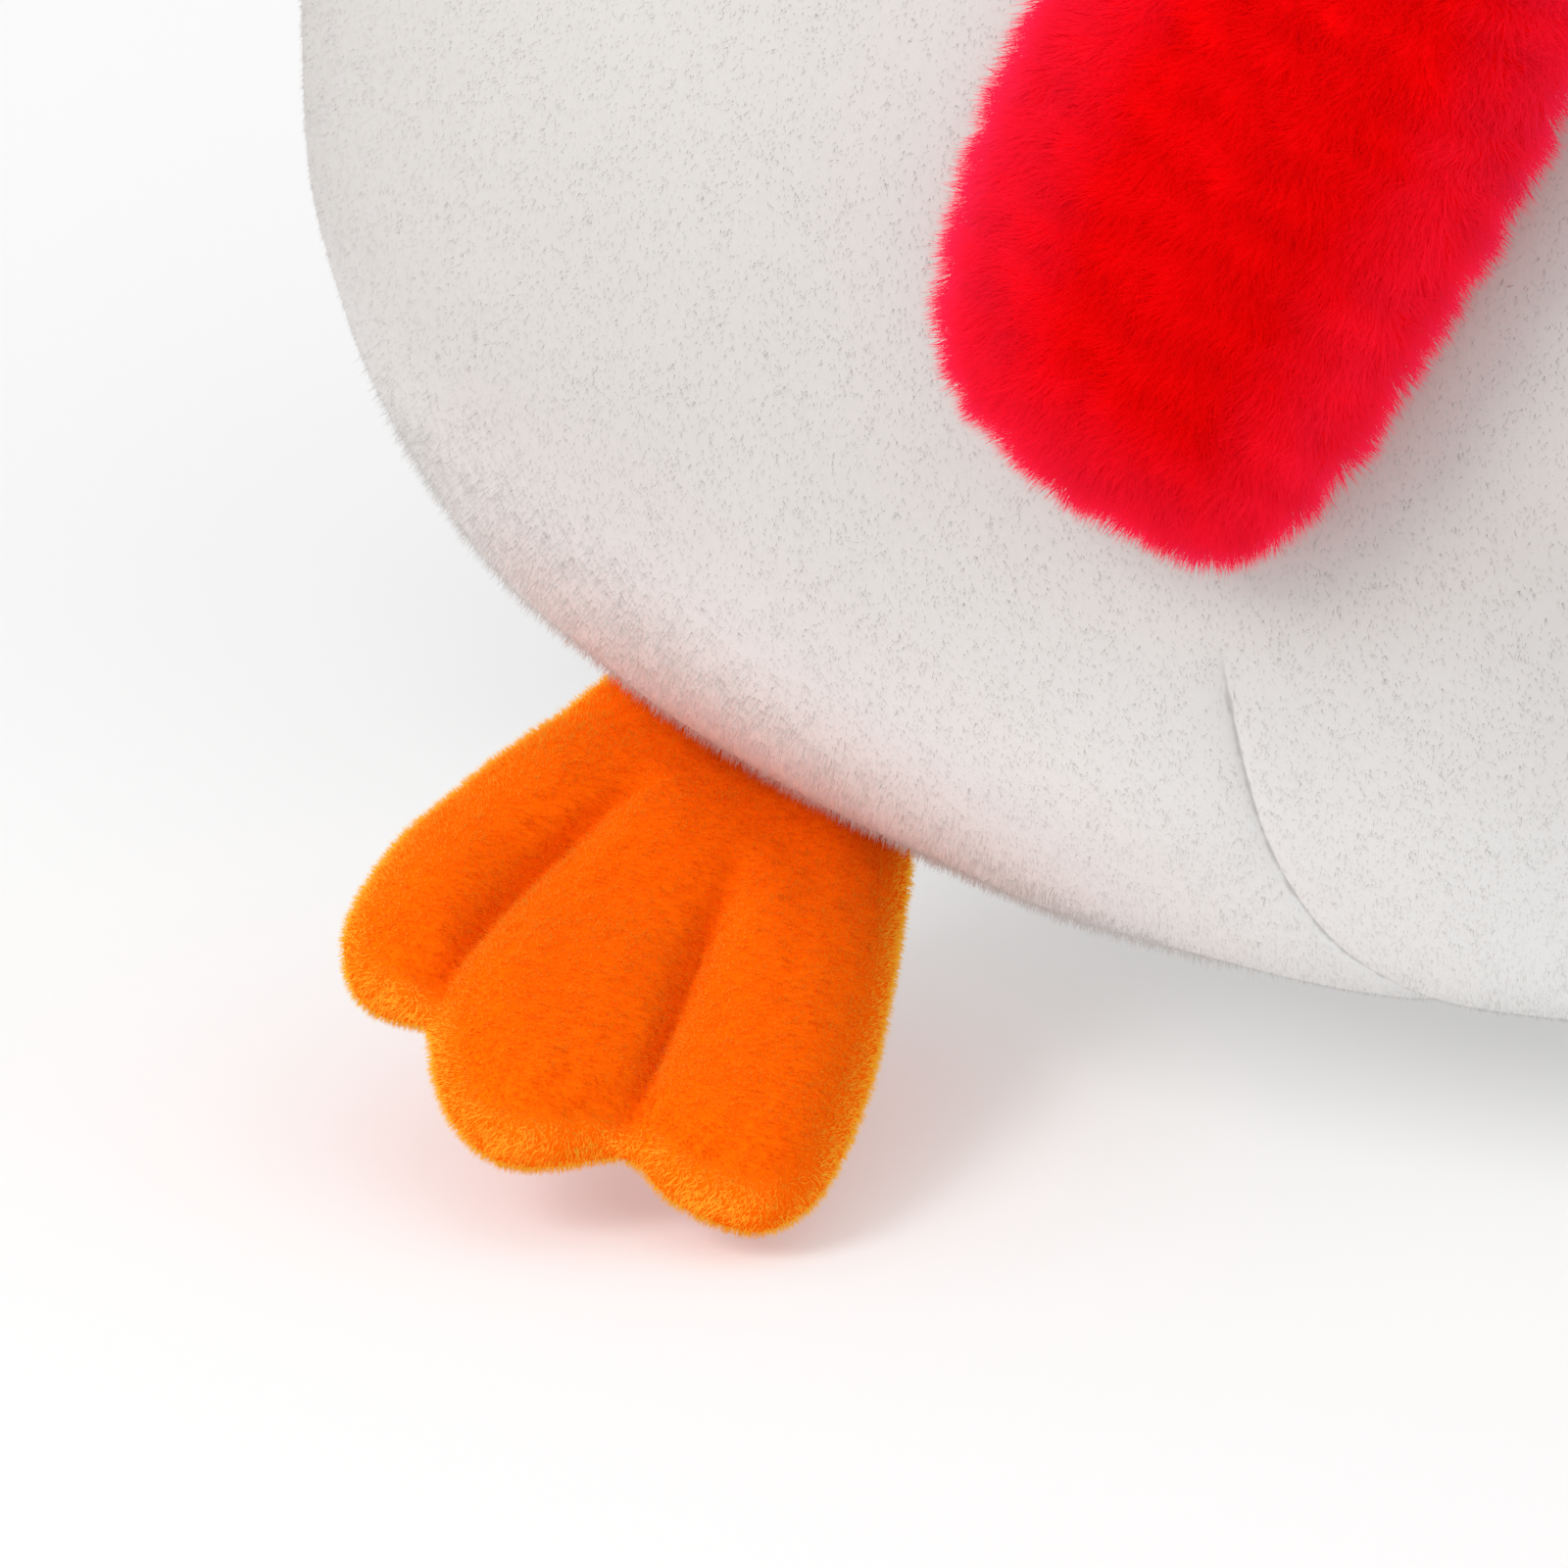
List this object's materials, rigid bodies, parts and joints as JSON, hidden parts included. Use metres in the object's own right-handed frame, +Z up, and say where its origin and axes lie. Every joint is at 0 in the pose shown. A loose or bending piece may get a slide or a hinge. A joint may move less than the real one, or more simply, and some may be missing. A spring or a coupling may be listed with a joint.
{
  "type": "plush penguin toy",
  "caption": "Chubby sitting plush penguin with a round belly, webbed feet that stick out, small flippers and a knotted scarf whose ends hang down the front.",
  "frame": {"origin": "centre of the round base panel's flat underside, which rests on the floor", "axes": "+Z up; the penguin faces -Y; +X is its own left"},
  "size_m": [0.354, 0.3167, 0.348],
  "materials": {
    "belly_plush": "short brushed pile, soft matte",
    "back_plush": "short brushed pile, soft matte",
    "orange_plush": "short brushed pile, soft matte",
    "scarf_plush": "long brushed pile, soft matte",
    "base_cloth": "plain woven, matte",
    "fibre_fill": "loose fibre",
    "pouch_cloth": "plain woven, matte",
    "pellets": "satin beads",
    "washer_plastic": "satin",
    "eye_plastic": "polished",
    "orange_thread": "twisted thread",
    "dark_thread": "twisted thread",
    "label_ribbon": "satin ribbon"
  },
  "bodies": {
    "torso": {"belly_panel": "belly_plush", "back_panel_left": "back_plush", "back_panel_right": "back_plush", "base_panel": "base_cloth", "body_stuffing": "fibre_fill", "pellet_pouch": "pouch_cloth", "pellet_fill": "pellets", "closing_stitches": "dark_thread", "care_label": "label_ribbon"},
    "head": {"beak_lower": "orange_plush", "beak_stuffing": "fibre_fill", "beak_upper": "orange_plush", "eye_left": "eye_plastic", "eye_right": "eye_plastic", "eye_washer_left": "washer_plastic", "eye_washer_right": "washer_plastic", "face_panel": "belly_plush", "head_stuffing": "fibre_fill", "hood_left": "back_plush", "hood_right": "back_plush"},
    "scarf": {"scarf_wrap": "scarf_plush", "scarf_knot": "scarf_plush"},
    "scarf_end_long": {"scarf_tail_long": "scarf_plush"},
    "scarf_end_short": {"scarf_tail_short": "scarf_plush"},
    "flipper_left": {"flipper_left_inner": "belly_plush", "flipper_left_outer": "back_plush", "flipper_left_stuffing": "fibre_fill"},
    "flipper_right": {"flipper_right_inner": "belly_plush", "flipper_right_outer": "back_plush", "flipper_right_stuffing": "fibre_fill"},
    "foot_left": {"foot_left_sole": "orange_plush", "foot_left_stuffing": "fibre_fill", "foot_left_toe_stitches": "orange_thread", "foot_left_top": "orange_plush"},
    "foot_right": {"foot_right_sole": "orange_plush", "foot_right_stuffing": "fibre_fill", "foot_right_toe_stitches": "orange_thread", "foot_right_top": "orange_plush"},
    "tail": {"tail_upper": "back_plush", "tail_lower": "back_plush", "tail_stuffing": "fibre_fill"}
  },
  "joints": [
    {"name": "head_turn", "type": "hinge", "parent": "torso", "child": "head", "pos_m": [0, 0, 0.1903], "axis": [0, 0, 1], "range_deg": [-25, 25], "stiffness_Nm_per_rad": 0.3},
    {"name": "scarf_turn", "type": "hinge", "parent": "torso", "child": "scarf", "pos_m": [0, 0, 0.1975], "axis": [0, 0, 1], "range_deg": [-20, 20]},
    {"name": "scarf_long_lift", "type": "hinge", "parent": "scarf", "child": "scarf_end_long", "pos_m": [-0.0205, -0.116, 0.1775], "axis": [-1, 0, 0], "range_deg": [0, 60]},
    {"name": "scarf_short_lift", "type": "hinge", "parent": "scarf", "child": "scarf_end_short", "pos_m": [0.006, -0.116, 0.1775], "axis": [-1, 0, 0], "range_deg": [0, 60]},
    {"name": "flipper_left_raise", "type": "hinge", "parent": "torso", "child": "flipper_left", "pos_m": [0.11046, 0, 0.16753], "axis": [0, -1, 0], "range_deg": [-1.5, 80], "stiffness_Nm_per_rad": 0.02},
    {"name": "flipper_right_raise", "type": "hinge", "parent": "torso", "child": "flipper_right", "pos_m": [-0.11046, 0, 0.16753], "axis": [0, 1, 0], "range_deg": [-1.5, 80], "stiffness_Nm_per_rad": 0.02},
    {"name": "foot_left_lift", "type": "hinge", "parent": "torso", "child": "foot_left", "pos_m": [0.0967, -0.0468, 0.0275], "axis": [-0.8818, -0.3759, -0.2849], "range_deg": [-20, 20], "stiffness_Nm_per_rad": 0.02},
    {"name": "foot_right_lift", "type": "hinge", "parent": "torso", "child": "foot_right", "pos_m": [-0.0967, -0.0468, 0.0275], "axis": [-0.8818, 0.3759, 0.2849], "range_deg": [-20, 20], "stiffness_Nm_per_rad": 0.02},
    {"name": "tail_wag_up", "type": "hinge", "parent": "torso", "child": "tail", "pos_m": [0, 0.13357, 0.05576], "axis": [1, 0, 0], "range_deg": [-15, 20], "stiffness_Nm_per_rad": 0.02}
  ]
}
